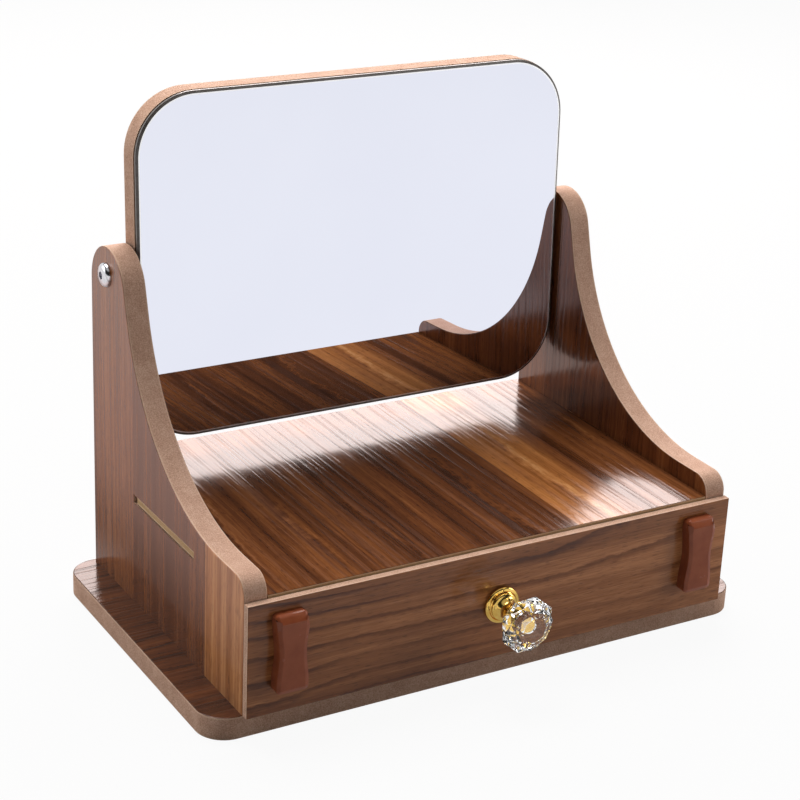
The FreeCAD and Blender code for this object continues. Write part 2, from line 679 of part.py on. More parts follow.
def knob_crystal():
    """The cut-glass head: flat facets between rings of corners, and a blind hole for the spigot."""
    girdle_start = knob_seat + CRYSTAL_BACK_DEPTH
    girdle_end = girdle_start + CRYSTAL_GIRDLE
    lobe = CRYSTAL_DIAMETER / 2
    dip = lobe - CRYSTAL_SCALLOP
    seat = KNOB_COLLAR_DIAMETER / 2
    table = CRYSTAL_TABLE_DIAMETER / 2
    rings = [crystal_ring(knob_seat, seat, seat), crystal_ring(girdle_start, lobe, dip),
             crystal_ring(girdle_end, lobe, dip), crystal_ring(girdle_end + CRYSTAL_CROWN_DEPTH, table, table)]
    faces = [Part.Face(Part.makePolygon(rings[0] + rings[0][:1])),
             Part.Face(Part.makePolygon(rings[-1] + rings[-1][:1]))]
    for near, far in zip(rings, rings[1:]):
        for here in range(len(near)):
            after = (here + 1) % len(near)
            for corners in ((near[here], near[after], far[here]), (near[after], far[after], far[here])):
                faces.append(Part.Face(Part.makePolygon(list(corners) + [corners[0]])))
    glass = Part.makeSolid(Part.makeShell(faces))
    if glass.Volume < 0:
        glass.reverse()
    hole = knob_rod(KNOB_SPIGOT_DIAMETER + 2 * HOLE_CLEARANCE, knob_seat - OVERRUN,
                    knob_seat + KNOB_SPIGOT_LENGTH + HOLE_CLEARANCE)
    return glass.cut(hole)


def knob_screw():
    """The screw from inside the drawer into the knob, with a pan head."""
    seat = Vector(0, inner_front_rear + KNOB_WASHER_THICKNESS, knob_z)
    reach = seat.y - drawer_face + KNOB_SCREW_GRIP
    shank = Part.makeCylinder(KNOB_SCREW_DIAMETER / 2, reach, seat, FORWARD)
    head = Part.makeCylinder(KNOB_SCREW_HEAD_DIAMETER / 2, KNOB_SCREW_HEAD_HEIGHT, seat, BACKWARD)
    rim = [edge for edge in head.Edges if edge.Closed and edge.BoundBox.YMin > seat.y + TOUCH]
    head = head.makeFillet(KNOB_SCREW_HEAD_ROUND, rim)
    top = seat + BACKWARD * KNOB_SCREW_HEAD_HEIGHT
    recess = cross_recess(top, FORWARD, KNOB_SCREW_HEAD_DIAMETER)
    return shank.fuse(head).removeSplitter().cut(recess)


def knob_washer():
    """The plain washer under the knob screw's head."""
    start = Vector(0, inner_front_rear, knob_z)
    disc = Part.makeCylinder(KNOB_WASHER_DIAMETER / 2, KNOB_WASHER_THICKNESS, start, BACKWARD)
    return disc.cut(knob_hole((inner_front_rear, inner_front_rear + KNOB_WASHER_THICKNESS)))


# ---- the whole object --------------------------------------------------------------------------

panel_right, panel_left = both_sides(side_panel())
wall_right, wall_left = both_sides(drawer_side())
screw_right, screw_left = both_sides(pivot_screw())

nodes = {
    "base_board": base_board(),
    "side_panel_left": panel_left,
    "side_panel_right": panel_right,
    "shelf_panel": shelf_panel(),
    "back_board": back_board(),
    "base_screws": base_screws(),
    "base_dowels": base_dowels(),
    "mirror_board": tilted(mirror_board()),
    "mirror_tape": tilted(mirror_tape()),
    "mirror_glass": tilted(mirror_glass()),
    "mirror_inserts": tilted(Part.makeCompound(both_sides(threaded_insert()))),
    "pivot_washers": tilted(Part.makeCompound(both_sides(pivot_washer()))),
    "pivot_screw_left": tilted(screw_left),
    "pivot_screw_right": tilted(screw_right),
    "drawer_front": drawer_front(),
    "drawer_inner_front": drawer_inner_front(),
    "drawer_side_left": wall_left,
    "drawer_side_right": wall_right,
    "drawer_back": drawer_back(),
    "drawer_bottom": drawer_bottom(),
    "drawer_screws": box_screws(),
    "drawer_trim_left": trim_block(-1),
    "drawer_trim_right": trim_block(1),
    "knob_base": knob_base(),
    "knob_crystal": knob_crystal(),
    "knob_screw": knob_screw(),
    "knob_washer": knob_washer(),
}

os.makedirs("parts", exist_ok=True)
for name, shape in nodes.items():
    shape.exportStep("parts/" + name + ".step")
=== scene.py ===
import math
import bmesh
import bpy
from mathutils import Matrix, Vector


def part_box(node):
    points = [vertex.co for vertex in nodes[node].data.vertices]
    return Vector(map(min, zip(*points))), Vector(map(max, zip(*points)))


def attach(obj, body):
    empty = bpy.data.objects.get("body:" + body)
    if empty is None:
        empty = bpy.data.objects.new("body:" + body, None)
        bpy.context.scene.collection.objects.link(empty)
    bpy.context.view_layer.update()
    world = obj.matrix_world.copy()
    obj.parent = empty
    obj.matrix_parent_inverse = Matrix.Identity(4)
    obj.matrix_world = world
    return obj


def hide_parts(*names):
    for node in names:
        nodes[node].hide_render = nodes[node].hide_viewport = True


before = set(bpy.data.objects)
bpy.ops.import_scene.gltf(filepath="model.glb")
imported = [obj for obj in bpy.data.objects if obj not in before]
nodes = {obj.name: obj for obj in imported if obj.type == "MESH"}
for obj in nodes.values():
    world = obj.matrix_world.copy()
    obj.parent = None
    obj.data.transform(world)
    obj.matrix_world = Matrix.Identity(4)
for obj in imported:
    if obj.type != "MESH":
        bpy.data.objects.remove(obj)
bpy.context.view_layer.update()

scene = bpy.context.scene

# ---- camera
# A long lens, from the left and above, turned a little about its own axis.
camera_data = bpy.data.cameras.new("camera")
camera_data.lens = 93.97
camera_data.sensor_width = 36.0
camera_data.clip_start = 0.01
camera = bpy.data.objects.new("camera", camera_data)
scene.collection.objects.link(camera)
camera_turn = (Matrix.Rotation(math.radians(-31.06), 4, "Z")
               @ Matrix.Rotation(math.radians(90 - 22.41), 4, "X")
               @ Matrix.Rotation(math.radians(2.6), 4, "Z"))
camera.matrix_world = Matrix.Translation((-0.51307, -0.84142, 0.51961)) @ camera_turn
scene.camera = camera


# ---- studio
# A white sweep in a dim room, lit by five softboxes: a wide one behind on the right, whose glare
# lies on the shelf, a large one overhead, and smaller ones in front, at the right and at the left.
def colour(red, green, blue):
    """A colour as it is seen on a screen, 0 to 255, in the linear values that Blender keeps."""
    return tuple(c / 12.92 if c <= 0.04045 else ((c + 0.055) / 1.055) ** 2.4
                 for c in (red / 255, green / 255, blue / 255))


def feed(tree, socket, value):
    """Links an output to this input, or writes a plain value to it."""
    if isinstance(value, bpy.types.NodeSocket):
        tree.links.new(value, socket)
    elif socket.type == "RGBA":
        socket.default_value = (*(value if isinstance(value, tuple) else (value,) * 3), 1.0)
    else:
        socket.default_value = value


def node(tree, kind, *values, out=0, **settings):
    """Adds a node, fills its first inputs in order, and gives back one of its outputs."""
    made = tree.nodes.new("ShaderNode" + kind)
    for name, value in settings.items():
        setattr(made, name, value)
    for socket, value in zip(made.inputs, values):
        if value is not None:
            feed(tree, socket, value)
    return made.outputs[out]


def maths(tree, operation, *values):
    return node(tree, "Math", *values, operation=operation)


def between(tree, value, low, high, bottom=0.0, top=1.0):
    """Rises smoothly from bottom to top while the value goes from low to high."""
    return node(tree, "MapRange", value, low, high, bottom, top, interpolation_type="SMOOTHSTEP")


def mix(tree, share, first, second, how="MIX"):
    """A colour part way from the first to the second."""
    made = tree.nodes.new("ShaderNodeMix")
    made.data_type = "RGBA"
    made.blend_type = how
    for number, value in ((0, share), (6, first), (7, second)):
        feed(tree, made.inputs[number], value)
    return made.outputs[2]


def ramp(tree, value, *stops):
    """A row of colours or greys, each at its own value."""
    made = node(tree, "ValToRGB", value).node
    row = made.color_ramp.elements
    while len(row) < len(stops):
        row.new(0.5)
    for element, (place, shade) in zip(row, stops):
        element.position = place
        element.color = (*(shade if isinstance(shade, tuple) else (shade,) * 3), 1.0)
    return made.outputs[0]


def softbox(name, place, aim_height, width, height, brightness, tint=(1.0, 0.98, 0.97)):
    """A rectangular soft light at a place, aimed at a height above the origin. Its face has that
    brightness."""
    lamp = bpy.data.lights.new(name, "AREA")
    lamp.shape = "RECTANGLE"
    lamp.size = width
    lamp.size_y = height
    lamp.energy = brightness * math.pi * width * height
    lamp.color = tint
    box = bpy.data.objects.new(name, lamp)
    scene.collection.objects.link(box)
    aim = Vector((0, 0, aim_height)) - Vector(place)
    facing = aim.to_track_quat("-Z", "Y").to_matrix().to_4x4()
    box.matrix_world = Matrix.Translation(place) @ facing
    box.visible_camera = False


softbox("light behind", (0.68, 1.12, 0.72), 0.10, 1.0, 0.62, 6.4, (1.0, 0.88, 0.85))
softbox("light overhead", (0.08, 0.78, 2.12), 0.10, 1.5, 1.35, 9.6)
softbox("light in front", (1.10, -0.90, 1.42), 0.05, 0.55, 0.45, 2.2)
softbox("light at the right", (1.20, -0.60, 0.42), 0.05, 0.5, 0.45, 7.5)
softbox("light at the left", (-1.05, 0.75, 0.55), 0.10, 0.6, 0.6, 3.4)

# The room: white to the camera. To the object it is white low down and behind, where the sweep
# goes up, half bright straight above in glossy surfaces only, and dark elsewhere.
DARK_ROOM = (0.02, 0.02, 0.02)
WHITE = (1.0, 1.0, 1.0)
world = bpy.data.worlds.new("world")
scene.world = world
world.use_nodes = True
sky = world.node_tree
direction = node(sky, "SeparateXYZ", node(sky, "TexCoord")).node.outputs
backward, upward = direction[1], direction[2]
room_ray = node(sky, "LightPath").node.outputs
horizon = between(sky, upward, 0.03, 0.14, 1.0, 0.0)
back_wall = maths(sky, "MULTIPLY", between(sky, backward, -0.1, 0.4),
                  between(sky, upward, 0.45, 0.7, 1.0, 0.0))
room = maths(sky, "MULTIPLY", maths(sky, "MAXIMUM", horizon, back_wall),
             maths(sky, "MULTIPLY_ADD", room_ray["Is Diffuse Ray"], -0.35, 1.0))
ceiling = maths(sky, "MULTIPLY", between(sky, upward, 0.62, 0.85, 0.0, 0.5),
                room_ray["Is Glossy Ray"])
room = maths(sky, "MAXIMUM", room, ceiling)
feed(sky, sky.nodes["Background"].inputs["Color"],
     mix(sky, maths(sky, "MAXIMUM", room_ray["Is Camera Ray"], room), DARK_ROOM, WHITE))


def new_material(name):
    """A material with its node tree and its Principled shader."""
    material = bpy.data.materials.new(name)
    material.use_nodes = True
    return material, material.node_tree, material.node_tree.nodes["Principled BSDF"]


# The sweep glows white to the camera and through glass, over a grey that takes the shadows. What
# glossy faces mirror of it carries painted shade: darker and warmer close to the object, on the left
# and in front, as though the object's shadow lay there.
FLOOR_GLOW = 0.94
FLOOR_DROP = 0.0002             # below the base, so that the two share no plane
floor_material, tree, shader = new_material("white sweep")
shader.inputs["Base Color"].default_value = (0.50, 0.50, 0.50, 1)
shader.inputs["Roughness"].default_value = 0.9
shader.inputs["Specular IOR Level"].default_value = 0.0
ray = node(tree, "LightPath").node.outputs
floor_place = node(tree, "SeparateXYZ", node(tree, "TexCoord", out=3)).node.outputs
leftward = maths(tree, "MULTIPLY", floor_place[0], -2.5)     # 1 at 0.4 m to the left
# Painted shade: what glossy faces see of the floor darkens a little to the left of the object.
painted_shade_left = ramp(tree, leftward, (0.30, 1.0), (0.42, (0.20, 0.15, 0.14)), (0.50, (0.70, 0.55, 0.52)),
               (0.62, (0.88, 0.71, 0.68)), (0.85, (1.0, 0.94, 0.93)), (1.0, (1.0, 0.97, 0.96)))
# Painted shade: the same for the floor in front of the object, at half strength.
painted_shade_front = maths(tree, "MAXIMUM", between(tree, floor_place[1], -0.25, -0.16, 1.0, 0.5),
                 between(tree, floor_place[1], -0.08, -0.04))
# Both painted shades together, for what glossy faces see of the floor.
painted_floor_shade = mix(tree, 1.0, painted_shade_left, painted_shade_front, "MULTIPLY")
mirrored = maths(tree, "SUBTRACT", ray["Is Glossy Ray"], ray["Is Transmission Ray"])
glow = node(tree, "Emission", mix(tree, mirrored, WHITE, painted_floor_shade), 1.0)
seen = maths(tree, "MAXIMUM", ray["Is Camera Ray"],
             maths(tree, "MAXIMUM", ray["Is Glossy Ray"], ray["Is Transmission Ray"]))
lit_or_glowing = node(tree, "MixShader", maths(tree, "MULTIPLY", seen, FLOOR_GLOW),
                      shader.outputs[0], glow)
tree.links.new(lit_or_glowing, tree.nodes["Material Output"].inputs["Surface"])
bpy.ops.object.select_all(action="DESELECT")
bpy.ops.mesh.primitive_plane_add(size=20, location=(0, 0, -FLOOR_DROP))
floor = bpy.context.object
floor.name = "sweep"
floor.data.materials.append(floor_material)


# ---- base board
# A 12 mm fibreboard with round corners, faced on both sides with a walnut print under gloss. The
# edges show the brown fibre. Its print runs from left to right.
def stretch(tree, place, across, along):
    """Scales a place, so that a noise read there has this many features a metre each way."""
    return node(tree, "VectorMath", place, (across, along, across), operation="MULTIPLY")


def noise(tree, place, detail=2.0, rough=0.5):
    """Soft noise, about 0.2 to 0.8, with features one unit wide."""
    return node(tree, "TexNoise", place, None, 1.0, detail, rough)


def new_group(name, inputs, outputs):
    """An empty node group, with its tree, its inputs by name and its output node."""
    tree = bpy.data.node_groups.new(name, "ShaderNodeTree")
    for direction, sockets in (("INPUT", inputs), ("OUTPUT", outputs)):
        for label, kind in sockets.items():
            tree.interface.new_socket(label, in_out=direction, socket_type="NodeSocket" + kind)
    return tree, tree.nodes.new("NodeGroupInput").outputs, tree.nodes.new("NodeGroupOutput").inputs


def use_group(tree, group, **values):
    """Places a group in a material, with its inputs by name, and gives back its outputs."""
    made = tree.nodes.new("ShaderNodeGroup")
    made.node_tree = group
    for label, value in values.items():
        feed(tree, made.inputs[label], value)
    return made.outputs


# The print: soft streaks of different browns, growth lines that run out along the board, either
# dark with one soft side or pale and thin, fine fibres and short dark pores, under a face that is
# embossed along the grain. Metres, with X across the grain and Y along it.
STRIPS_PER_METRE = 24.0
BROWNS = ((0.0, colour(57, 31, 17)), (0.3, colour(91, 51, 27)), (0.55, colour(122, 72, 38)),
          (0.8, colour(153, 97, 56)), (1.0, colour(184, 124, 80)))
GOLDS = ((0.0, colour(84, 44, 20)), (0.35, colour(140, 84, 42)), (0.65, colour(176, 114, 62)),
         (1.0, colour(210, 154, 98)))
PORE_BROWN = colour(40, 22, 14)
LAND_POLISH = 0.15              # roughness of the flat lands, and what a groove adds to it
GROOVE_POLISH = 0.12
walnut, given, result = new_group(
    "walnut print",
    {"Place": "Vector", "Pitch": "Float", "Wave": "Float", "Dark lines": "Float",
     "Pale lines": "Float", "Streaks": "Float", "Tone": "Float", "Golden": "Float"},
    {"Colour": "Color", "Height": "Float", "Polish": "Float"})
place = given["Place"]
sway = noise(walnut, stretch(walnut, place, 9, 3), 1.0)
sway = maths(walnut, "MULTIPLY_ADD", sway, 0.010, -0.005)
swayed = node(walnut, "VectorMath", place, node(walnut, "CombineXYZ", sway, 0.0, 0.0),
              operation="ADD")
across = node(walnut, "SeparateXYZ", swayed)
strip = node(walnut, "TexVoronoi", None, maths(walnut, "MULTIPLY", across, STRIPS_PER_METRE), 1.0,
             voronoi_dimensions="1D", out=1)
strip = node(walnut, "SeparateColor", strip)    # one value for each strip of the print
swell = noise(walnut, stretch(walnut, place, 9, 4.5), 1.5, 0.45)
jag = noise(walnut, stretch(walnut, place, 90, 130), 2.0, 0.6)
rings = maths(walnut, "MULTIPLY_ADD", across, given["Pitch"],
              maths(walnut, "MULTIPLY", swell, given["Wave"]))
rings = maths(walnut, "FRACT", maths(walnut, "MULTIPLY_ADD", jag, 0.22, rings))
faded = between(walnut, noise(walnut, stretch(walnut, place, 30, 9), 1.0), 0.38, 0.60, 0.15, 1.0)
dark_line = maths(walnut, "MULTIPLY", between(walnut, rings, 0.62, 0.92),
                  between(walnut, rings, 0.94, 1.0, 1.0, 0.0))
dark_line = maths(walnut, "MULTIPLY", dark_line, faded)
pale_line = maths(walnut, "MULTIPLY", between(walnut, rings, 0.0, 0.025),
                  between(walnut, rings, 0.03, 0.10, 1.0, 0.0))
pale_line = maths(walnut, "MULTIPLY", pale_line, faded)
bands = noise(walnut, stretch(walnut, swayed, 75, 1.5), 1.5)
streaks = noise(walnut, stretch(walnut, swayed, 380, 5), 3.0, 0.6)
fibres = noise(walnut, stretch(walnut, place, 1400, 70), 2.0)
pores = between(walnut, noise(walnut, stretch(walnut, place, 1700, 150), 1.0), 0.60, 0.70)
tone = maths(walnut, "MULTIPLY_ADD", maths(walnut, "SUBTRACT", bands, 0.5), given["Streaks"], 0.45)
tone = maths(walnut, "MULTIPLY_ADD", maths(walnut, "SUBTRACT", streaks, 0.5),
             maths(walnut, "MULTIPLY", given["Streaks"], 0.75), tone)
tone = maths(walnut, "MULTIPLY_ADD", maths(walnut, "SUBTRACT", fibres, 0.5), 0.40, tone)
tone = maths(walnut, "MULTIPLY_ADD", maths(walnut, "SUBTRACT", strip, 0.5), 0.15, tone)
tone = maths(walnut, "SUBTRACT", tone, maths(walnut, "MULTIPLY", dark_line, given["Dark lines"]))
tone = maths(walnut, "MULTIPLY_ADD", pale_line, given["Pale lines"], tone)
tone = maths(walnut, "ADD", tone, given["Tone"])
wood = mix(walnut, given["Golden"], ramp(walnut, tone, *BROWNS), ramp(walnut, tone, *GOLDS))
wood = mix(walnut, maths(walnut, "MULTIPLY", pores, 0.40), wood, PORE_BROWN)
# The embossed face: long grooves, a little duller than the flat lands between them.
ripple = noise(walnut, stretch(walnut, place, 430, 6), 1.0)
grooves = between(walnut, ripple, 0.50, 0.38)
height = maths(walnut, "MULTIPLY_ADD", grooves, -0.62, maths(walnut, "MULTIPLY", fibres, 0.08))
polish = maths(walnut, "MULTIPLY_ADD", grooves, GROOVE_POLISH, LAND_POLISH)
feed(walnut, result["Colour"], wood)
feed(walnut, result["Height"], height)
feed(walnut, result["Polish"], polish)

# The bare fibreboard of an edge: fine specks and soft blotches, and a painted highlight: a paler
# line at its corners, where the rounded arris would catch the light.
FIBRES = ((0.3, colour(150, 115, 94)), (0.5, colour(190, 153, 131)), (0.7, colour(216, 185, 164)))
YELLOW_FIBRES = colour(176, 146, 84)
PAINTED_ARRIS_HIGHLIGHT = colour(226, 198, 170)
fibreboard, given, result = new_group(
    "bare fibreboard", {"Place": "Vector", "Depth": "Float", "Yellow": "Float"},
    {"Colour": "Color", "Height": "Float"})
specks = noise(fibreboard, stretch(fibreboard, given["Place"], 1700, 1700), 3.0, 0.65)
blotches = noise(fibreboard, stretch(fibreboard, given["Place"], 130, 130), 2.0)
mottle = maths(fibreboard, "MULTIPLY_ADD", blotches, 0.2,
               maths(fibreboard, "MULTIPLY", specks, 0.8))
bare = mix(fibreboard, given["Yellow"], ramp(fibreboard, mottle, *FIBRES), YELLOW_FIBRES)
# Painted highlight: a paler band just inside each corner of the edge.
painted_arris_highlight = maths(fibreboard, "MULTIPLY", between(fibreboard, given["Depth"], 0.0002, 0.0004),
                    between(fibreboard, given["Depth"], 0.0006, 0.0010, 1.0, 0.0))
painted_arris_highlight = maths(fibreboard, "MULTIPLY", painted_arris_highlight, 0.45)
feed(fibreboard, result["Colour"], mix(fibreboard, painted_arris_highlight, bare, PAINTED_ARRIS_HIGHLIGHT))
feed(fibreboard, result["Height"], specks)

AXES = {"X": 0, "Y": 1, "Z": 2}
EMBOSSING = 0.0001              # how deep the face is worked, at a height of 1
PRINT_SKIN = (0.00012, 0.00028)     # depths between which the print gives way to the fibre
BARE_POLISH = 0.55              # what bare fibre adds to the roughness and to the gloss
BARE_GLOSS = -0.36


def board_material(name, order, low, high, shift, pitch, wave, dark, pale, streaks, tone=0.0,
                   strips=None, move=None, yellow=0.0, ior=1.42, emboss=1.0,
                   tint=(1.0, 0.86, 0.82)):
    """Walnut print on a board's two faces and bare fibre elsewhere. The order is the axes across
    the grain, along it and through the board, whose faces lie at low and high. The shift picks a
    part of the print. Growth lines have a pitch per metre and a wave, and are dark or pale by their
    shares. Strips, if given, makes the golden share and the tone from the place."""
    material, tree, shader = new_material(name)
    where = node(tree, "TexCoord", out=3)
    if move:
        where = move(tree, where)
    split = node(tree, "SeparateXYZ", where).node.outputs
    through = split[AXES[order[2]]]
    print_place = node(tree, "CombineXYZ", split[AXES[order[0]]], split[AXES[order[1]]], through)
    print_place = node(tree, "VectorMath", print_place, shift, operation="ADD")
    depth = maths(tree, "MINIMUM", maths(tree, "SUBTRACT", through, low),
                  maths(tree, "SUBTRACT", high, through))
    bare = between(tree, depth, *PRINT_SKIN)
    golden, tone = strips(tree, split) if strips else (0.0, tone)
    faced = use_group(tree, walnut, **{"Place": print_place, "Pitch": pitch, "Wave": wave,
                                       "Dark lines": dark, "Pale lines": pale,
                                       "Streaks": streaks, "Tone": tone, "Golden": golden})
    edge = use_group(tree, fibreboard, Place=where, Depth=depth, Yellow=yellow)
    feed(tree, shader.inputs["Base Color"], mix(tree, bare, faced["Colour"], edge["Colour"]))
    feed(tree, shader.inputs["Roughness"],
         maths(tree, "MULTIPLY_ADD", bare, BARE_POLISH, faced["Polish"]))
    feed(tree, shader.inputs["Specular IOR Level"],
         maths(tree, "MULTIPLY_ADD", bare, BARE_GLOSS, 0.5))
    relief = tree.nodes.new("ShaderNodeBump")
    relief.inputs["Strength"].default_value = emboss
    relief.inputs["Distance"].default_value = EMBOSSING
    feed(tree, relief.inputs["Height"], mix(tree, bare, faced["Height"], edge["Height"]))
    feed(tree, shader.inputs["Normal"], relief.outputs[0])
    shader.inputs["IOR"].default_value = ior
    shader.inputs["Specular Tint"].default_value = (*tint, 1.0)
    return material


def dress(name, material):
    """Gives a CAD part its material."""
    part = nodes[name]
    part.data.materials.clear()
    part.data.materials.append(material)


low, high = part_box("base_board")
dress("base_board", board_material("base walnut", "YXZ", low.z, high.z, (0.31, 0.12, 0.0),
                                   pitch=70, wave=4, dark=0.28, pale=0.0, streaks=0.8, tone=-0.25))


# ---- side panels
# Cut from the same 12 mm board, with the grain upright. Dowels and countersunk screws hold them on
# the base. The front of each is a lighter, golden strip, strong on the left panel.
PANEL_STRIP = -0.048            # the lighter strip lies in front of this
PANEL_STRIP_BLUR = 0.0002
LEFT_TO_RIGHT = (-0.1, 0.1)     # values that differ between the two panels change over this width


def panel_strips(tree, split):
    """The golden share and the tone of the print on the side panels."""
    x, y, z = split
    in_front = between(tree, y, PANEL_STRIP + PANEL_STRIP_BLUR, PANEL_STRIP - PANEL_STRIP_BLUR)
    in_front = maths(tree, "MULTIPLY", in_front, between(tree, x, *LEFT_TO_RIGHT, 1.0, 0.2))
    golden = maths(tree, "MULTIPLY", in_front, between(tree, y, -0.058, -0.066, 1.0, 0.45))
    stripes = noise(tree, stretch(tree, node(tree, "CombineXYZ", y, z, 0.0), 170, 1.5), 1.0)
    stripes = maths(tree, "MULTIPLY_ADD", maths(tree, "SUBTRACT", stripes, 0.5), 1.3, 0.38)
    behind = between(tree, x, *LEFT_TO_RIGHT, -0.02, 0.0)
    return golden, maths(tree, "MULTIPLY_ADD", in_front, stripes, behind)


for side, shift in (("left", (0.52, 0.40, 0.0)), ("right", (0.91, 1.27, 0.3))):
    low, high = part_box("side_panel_" + side)
    dress("side_panel_" + side,
          board_material(side + " panel walnut", "YZX", low.x, high.x, shift, pitch=34, wave=2,
                         dark=0.12, pale=0.0, streaks=0.95, strips=panel_strips, ior=1.95,
                         emboss=0.5, tint=(1.0, 0.62, 0.52)))


# ---- shelf
# A 4 mm board with a glossy face, held by tenons that show their bare ends in the panels' slots.
# Its print runs from front to back: reddish strips on the left, dark ones, then a golden one.
GOLDEN_STRIP = 0.0463           # its left edge
GOLDEN_STRIP_BLUR = 0.0005
GOLDEN_STRIP_FADE = (0.074, 0.086)      # it fades out between these on its right


def shelf_strips(tree, split):
    """The golden share and the tone of the print on the shelf."""
    x = split[0]
    golden = maths(tree, "MULTIPLY",
                   between(tree, x, GOLDEN_STRIP, GOLDEN_STRIP + GOLDEN_STRIP_BLUR),
                   between(tree, x, *GOLDEN_STRIP_FADE, 1.0, 0.10))
    golden = maths(tree, "MULTIPLY_ADD", golden, 0.9, between(tree, x, -0.03, -0.06, 0.0, 0.12))
    reddish = between(tree, x, -0.048, -0.036, -0.07, -0.15)
    lighter = maths(tree, "MULTIPLY", between(tree, x, 0.0460, 0.0468),
                    between(tree, x, 0.070, 0.090, 0.24, 0.04))
    return golden, maths(tree, "ADD", reddish, lighter)


low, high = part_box("shelf_panel")
dress("shelf_panel", board_material("shelf walnut", "XYZ", low.z, high.z, (0.66, 0.28, 0.0),
                                    pitch=24, wave=2.6, dark=0.2, pale=0.15, streaks=1.0,
                                    strips=shelf_strips, yellow=0.5))

# ---- back board
# A thin board that closes the drawer's bay behind. It sits in a groove in each side panel and is
# faced like the rest.
low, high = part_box("back_board")
dress("back_board", board_material("back walnut", "ZXY", low.y, high.y, (0.13, 0.55, 0.0),
                                   pitch=70, wave=4, dark=0.4, pale=0.0, streaks=0.7))


# ---- drawer box
# Five thin boards, screwed together, of smooth unlacquered light brown wood. The grain runs along
# each board: from left to right, and from front to back on the sides.
BOX_BROWNS = ((0.3, colour(150, 116, 84)), (0.5, colour(178, 145, 110)),
              (0.7, colour(196, 166, 130)))


def box_wood(name, along, other):
    """Plain wood with its grain along one axis and even across it."""
    material, tree, shader = new_material(name)
    where = node(tree, "TexCoord", out=3)
    split = node(tree, "SeparateXYZ", where).node.outputs
    across = maths(tree, "ADD", split[AXES[other]], split[AXES["Z"]])
    grain_place = node(tree, "CombineXYZ", across, split[AXES[along]], 0.0)
    grain = noise(tree, stretch(tree, grain_place, 260, 9), 3.0, 0.55)
    fine = noise(tree, stretch(tree, where, 1500, 1500), 2.0)
    grain = maths(tree, "MULTIPLY_ADD", fine, 0.35, maths(tree, "MULTIPLY", grain, 0.65))
    feed(tree, shader.inputs["Base Color"], ramp(tree, grain, *BOX_BROWNS))
    feed(tree, shader.inputs["Roughness"], between(tree, grain, 0.3, 0.7, 0.62, 0.50))
    return material


long_boards = box_wood("box wood", "X", "Y")
for name in ("drawer_inner_front", "drawer_back", "drawer_bottom"):
    dress(name, long_boards)
side_boards = box_wood("box side wood", "Y", "X")
for name in ("drawer_side_left", "drawer_side_right"):
    dress(name, side_boards)


# ---- drawer front
# A 4 mm board of the same kind, fixed to the box, that covers the bay and the panels' front edges.
# Its print runs from left to right, with wavy dark rings. Painted light makes it a little lighter
# towards the right, where the lamp at the right falls on it.
def front_tone_with_painted_light(tree, split):
    """No gold, and a tone that gets a little lighter towards the right, which is painted light from
    the lamp at the right.
    """
    return 0.0, between(tree, split[0], -0.16, 0.16, 0.25, 0.33)


low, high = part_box("drawer_front")
face_y = low.y
dress("drawer_front", board_material("front walnut", "ZXY", low.y, high.y, (0.77, 0.21, 0.0),
                                     pitch=90, wave=6.5, dark=0.36, pale=0.0, streaks=0.6,
                                     strips=front_tone_with_painted_light, tint=(1.0, 0.95, 1.0)))


# ---- waisted blocks on the drawer front
# Small blocks of lacquered wood, reddish brown, glued on. The sides draw in at the middle, the
# front face has a sloped border, steepest at the top, and the edges are rounded.
def begin(name, primitive, **where):
    """Adds a primitive, with its place in its mesh, and goes into edit mode."""
    bpy.ops.object.select_all(action="DESELECT")
    primitive(**where)
    piece = bpy.context.object
    piece.name = name
    piece.data.name = name
    bpy.ops.object.transform_apply(location=True, rotation=True, scale=True)
    bpy.ops.object.mode_set(mode="EDIT")
    return piece


def pick(kind, test):
    """Selects only the vertices, edges or faces that pass the test."""
    bpy.ops.mesh.select_mode(type=kind)
    bpy.ops.mesh.select_all(action="DESELECT")
    shape = bmesh.from_edit_mesh(bpy.context.object.data)
    for part in {"VERT": shape.verts, "EDGE": shape.edges, "FACE": shape.faces}[kind]:
        if test(part):
            part.select_set(True)
    shape.select_flush_mode()
    bmesh.update_edit_mesh(bpy.context.object.data)


def middle(part):
    """The middle of an edge or a face."""
    return sum((v.co for v in part.verts), Vector()) / len(part.verts)


def modify(piece, kind, **settings):
    """Adds a modifier with its settings and applies it."""
    modifier = piece.modifiers.new(kind, kind)
    for name, value in settings.items():
        setattr(modifier, name, value)
    bpy.ops.object.modifier_apply(modifier=modifier.name)


def finish_piece(piece, material, body, replaced, angle=30):
    """Smooths a piece, gives it its material, hangs it on its body and hides the CAD part it stands
    for.
    """
    bpy.ops.object.select_all(action="DESELECT")
    piece.select_set(True)
    bpy.context.view_layer.objects.active = piece
    bpy.ops.object.transform_apply(location=True, rotation=True, scale=True)
    bpy.ops.object.shade_smooth_by_angle(angle=math.radians(angle))
    if material:
        piece.data.materials.append(material)
    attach(piece, body)
    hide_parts(replaced)


# Handling marks that any smooth finish has: a slow mottle and fine hairlines.
handling, given, result = new_group("handling marks", {"Place": "Vector", "Size": "Float"},
                                    {"Mottle": "Float", "Hairlines": "Float"})
sized = node(handling, "VectorMath", given["Place"], None, None, given["Size"], operation="SCALE")
feed(handling, result["Mottle"], noise(handling, sized, 3.0, 0.55))
feed(handling, result["Hairlines"],
     between(handling, noise(handling, stretch(handling, sized, 1.2, 14), 2.0), 0.55, 0.75))


